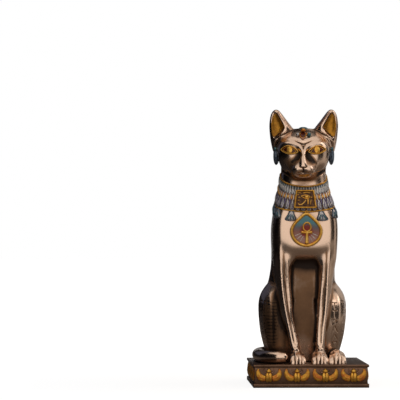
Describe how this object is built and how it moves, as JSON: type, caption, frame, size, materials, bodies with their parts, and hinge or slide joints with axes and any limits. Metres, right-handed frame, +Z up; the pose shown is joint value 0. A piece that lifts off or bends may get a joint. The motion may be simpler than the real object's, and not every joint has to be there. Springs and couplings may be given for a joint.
{
  "type": "bastet cat figure",
  "caption": "Seated cat figure with gold-lined ears, a broad bead collar, an eye panel and a looped-cross pendant, on a rectangular plinth with a winged scarab frieze.",
  "frame": {"origin": "centre of the plinth's underside", "axes": "+Z up; the cat faces -Y; +X is on the right of someone who looks at its face"},
  "size_m": [0.086, 0.105, 0.2065],
  "materials": {
    "bronze_resin": "cold-cast resin with a polished bronze finish, dark in the hollows",
    "plinth_resin": "cold-cast resin with a darker satin bronze finish",
    "gold_paint": "brushed-on metallic gold paint, worn to bronze at its edges",
    "coloured_enamel": "small touches of blue, teal, violet and red metallic enamel"
  },
  "bodies": {
    "root": {"cat": "bronze_resin", "plinth": "plinth_resin"}
  },
  "joints": []
}
